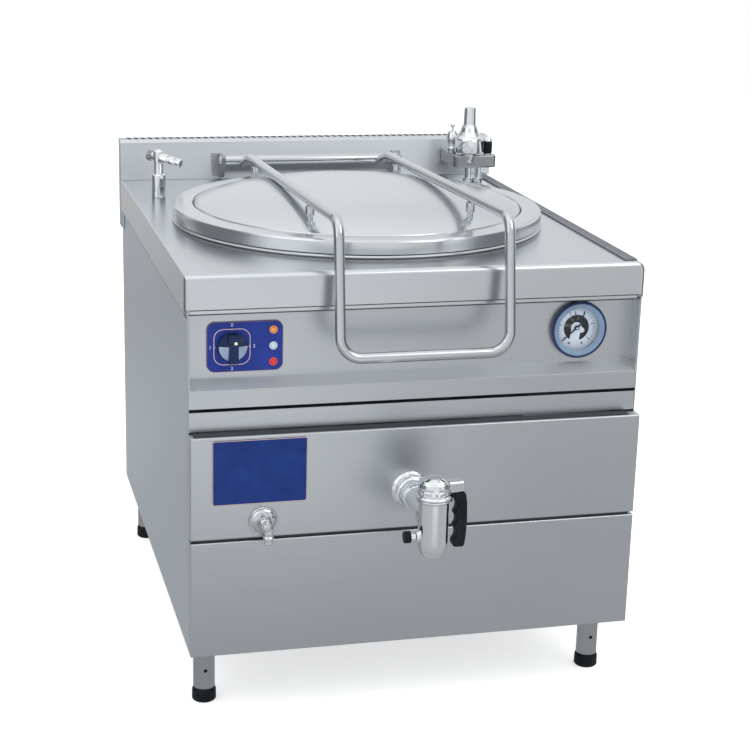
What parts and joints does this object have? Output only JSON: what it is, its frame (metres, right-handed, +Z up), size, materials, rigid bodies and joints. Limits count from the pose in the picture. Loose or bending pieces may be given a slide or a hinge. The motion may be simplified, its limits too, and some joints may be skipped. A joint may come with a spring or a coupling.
{
  "type": "boiling pan",
  "caption": "Stationary electric boiling pan on legs: round jacketed vessel, hinged lid with looped bar handle, control fascia, draw-off tap, rear vent duct.",
  "frame": {"origin": "middle of the footprint box of the whole object, on the floor", "axes": "+Z up; -Y is the front with the controls and the draw-off tap; +X is to the right of someone facing the front"},
  "size_m": [0.84, 1.1924, 0.984],
  "materials": {
    "worktop_steel": "fine brushed stainless sheet",
    "panel_steel": "brushed stainless sheet",
    "lid_steel": "ground and brushed stainless",
    "vessel_steel": "pickled stainless",
    "tube_steel": "polished stainless tube",
    "frame_steel": "galvanised frame",
    "strip_dark": "dark joint profile",
    "bracket_dark": "dark coated steel",
    "tap_chrome": "polished chrome",
    "brass_plug": "machined brass",
    "black_plastic": "satin black",
    "knob_dark": "dark glossy moulding",
    "plate_blue": "blue enamel film",
    "gauge_blue": "dark blue enamel",
    "dial_white": "matt white",
    "needle_black": "matt black",
    "gauge_glass": "clear flat glass",
    "lens_orange": "translucent lens",
    "lens_clear": "translucent lens",
    "lens_red": "translucent lens",
    "seal_rubber": "food-grade seal"
  },
  "bodies": {
    "housing": {"base_frame": "frame_steel", "side_panel_left": "panel_steel", "side_panel_right": "panel_steel", "rear_panel": "panel_steel", "worktop": "worktop_steel", "joint_strip": "strip_dark", "splash_duct": "panel_steel", "fascia_panel": "panel_steel", "lower_rail": "panel_steel", "upper_front_panel": "panel_steel", "lower_front_panel": "panel_steel", "label_plate": "plate_blue", "cooking_vessel": "vessel_steel", "steam_jacket": "vessel_steel", "heater_bank": "vessel_steel", "outlet_pipe": "vessel_steel", "hinge_bracket": "bracket_dark", "hinge_rod": "tube_steel", "tap_body": "tap_chrome", "level_tap": "tap_chrome", "control_plate": "plate_blue", "rotary_switch": "black_plastic", "lamp_top": "lens_orange", "lamp_middle": "lens_clear", "lamp_bottom": "lens_red", "gauge_case": "gauge_blue", "gauge_bezel": "tap_chrome", "gauge_dial": "dial_white", "gauge_glass": "gauge_glass", "fill_tap": "tap_chrome", "manifold": "tap_chrome", "funnel": "tap_chrome", "relief_valve": "tap_chrome", "cable_gland": "black_plastic", "leg_front_left": "tube_steel", "leg_front_right": "tube_steel", "leg_rear_left": "tube_steel", "leg_rear_right": "tube_steel"},
    "lid": {"lid_shell": "lid_steel", "lid_liner": "lid_steel", "lid_gasket": "seal_rubber", "lid_handle": "tube_steel", "post_front_left": "tube_steel", "post_front_right": "tube_steel", "post_rear_left": "tube_steel", "post_rear_right": "tube_steel"},
    "draw_off_lever": {"tap_lever": "tap_chrome", "tap_plug": "brass_plug", "tap_grip": "black_plastic"},
    "side_cap": {"tap_side_cap": "black_plastic"},
    "level_key": {"level_tap_key": "tap_chrome"},
    "switch": {"switch_knob": "knob_dark"},
    "needle": {"gauge_needle": "needle_black"},
    "fill_knob": {"fill_tap_knob": "black_plastic"},
    "vent_knob": {"valve_knob": "black_plastic"},
    "relief": {"relief_pin": "tap_chrome"},
    "foot_front_left": {"foot_front_left": "black_plastic"},
    "foot_front_right": {"foot_front_right": "black_plastic"},
    "foot_rear_left": {"foot_rear_left": "black_plastic"},
    "foot_rear_right": {"foot_rear_right": "black_plastic"}
  },
  "joints": [
    {"name": "lid_hinge", "type": "hinge", "parent": "housing", "child": "lid", "pos_m": [-0.006, 0.50625, 0.867], "axis": [-1, 0, 0], "range_deg": [0, 85]},
    {"name": "draw_off_turn", "type": "hinge", "parent": "housing", "child": "draw_off_lever", "pos_m": [-0.02, -0.56375, 0.4235], "axis": [0, 0, -1], "range_deg": [0, 90]},
    {"name": "side_cap_pull", "type": "slide", "parent": "housing", "child": "side_cap", "axis": [-1, 0, 0], "range_m": [0, 0.03]},
    {"name": "level_key_turn", "type": "hinge", "parent": "housing", "child": "level_key", "pos_m": [-0.286, -0.44475, 0.381], "axis": [0, -1, 0], "range_deg": [0, 90]},
    {"name": "switch_turn", "type": "hinge", "parent": "housing", "child": "switch", "pos_m": [-0.332, -0.36375, 0.684], "axis": [0, 1, 0], "range_deg": [0, 270]},
    {"name": "needle_swing", "type": "hinge", "parent": "housing", "child": "needle", "pos_m": [0.3075, -0.37875, 0.6905], "axis": [0, 1, 0], "range_deg": [0, 262], "stiffness_Nm_per_rad": 0.004},
    {"name": "fill_knob_turn", "type": "hinge", "parent": "housing", "child": "fill_knob", "pos_m": [-0.366, 0.34325, 0.902], "axis": [-0.7793, 0.6089, 0.1483], "range_deg": [0, 360]},
    {"name": "vent_knob_turn", "type": "hinge", "parent": "housing", "child": "vent_knob", "pos_m": [0.384, 0.45425, 0.883], "axis": [0, 0, 1], "range_deg": [0, 360]},
    {"name": "relief_lift", "type": "slide", "parent": "housing", "child": "relief", "axis": [0, 0, 1], "range_m": [0, 0.004], "stiffness_N_per_m": 150},
    {"name": "foot_front_left_screw", "type": "slide", "parent": "housing", "child": "foot_front_left", "axis": [0, 0, -1], "range_m": [0, 0.025]},
    {"name": "foot_front_right_screw", "type": "slide", "parent": "housing", "child": "foot_front_right", "axis": [0, 0, -1], "range_m": [0, 0.025]},
    {"name": "foot_rear_left_screw", "type": "slide", "parent": "housing", "child": "foot_rear_left", "axis": [0, 0, -1], "range_m": [0, 0.025]},
    {"name": "foot_rear_right_screw", "type": "slide", "parent": "housing", "child": "foot_rear_right", "axis": [0, 0, -1], "range_m": [0, 0.025]}
  ]
}
